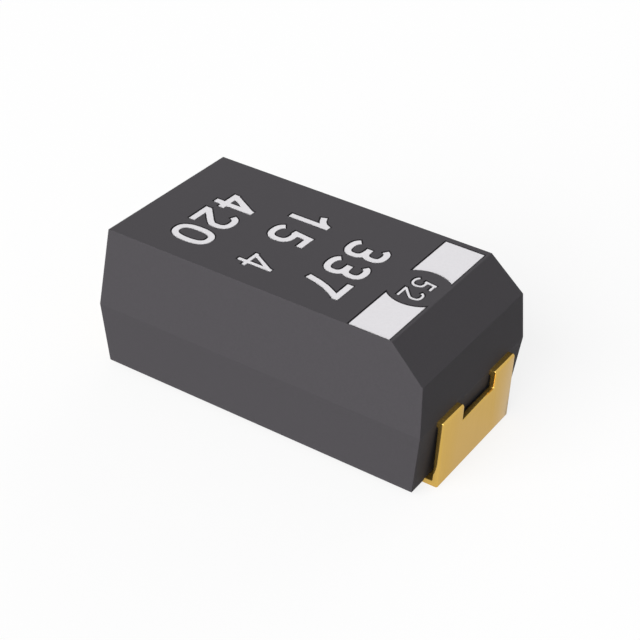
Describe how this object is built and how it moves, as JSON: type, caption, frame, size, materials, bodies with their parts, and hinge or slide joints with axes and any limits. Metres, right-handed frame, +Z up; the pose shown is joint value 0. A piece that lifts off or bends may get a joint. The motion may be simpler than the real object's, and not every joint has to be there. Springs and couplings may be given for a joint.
{
  "type": "moulded tantalum chip capacitor",
  "caption": "Moulded surface-mount tantalum capacitor with folded end leads, a bevelled anode end and a printed polarity stripe.",
  "frame": {"origin": "on the board, under the middle of the part over its leads", "axes": "+X towards the anode end with the bevel and the stripe, +Z up from the board"},
  "size_m": [0.006, 0.0032, 0.0025],
  "materials": {
    "case_epoxy": "matte moulded epoxy, charcoal",
    "lead_plating": "satin gold-coloured plating on a rolled strip",
    "sintered_tantalum": "matte sintered metal powder",
    "tantalum_wire": "drawn wire",
    "washer_plastic": "smooth white fluoroplastic",
    "electrolyte": "matte black solid electrolyte",
    "graphite": "matte graphite coat",
    "silver_paint": "matte silver-filled paint",
    "laser_mark": "matte pale laser mark"
  },
  "bodies": {
    "root": {"moulded_case": "case_epoxy", "anode_lead": "lead_plating", "cathode_lead": "lead_plating", "anode_pellet": "sintered_tantalum", "anode_wire": "tantalum_wire", "wire_washer": "washer_plastic", "electrolyte_coat": "electrolyte", "graphite_coat": "graphite", "silver_coat": "silver_paint", "silver_adhesive": "silver_paint", "stripe_block_left": "laser_mark", "stripe_block_right": "laser_mark"}
  },
  "joints": []
}
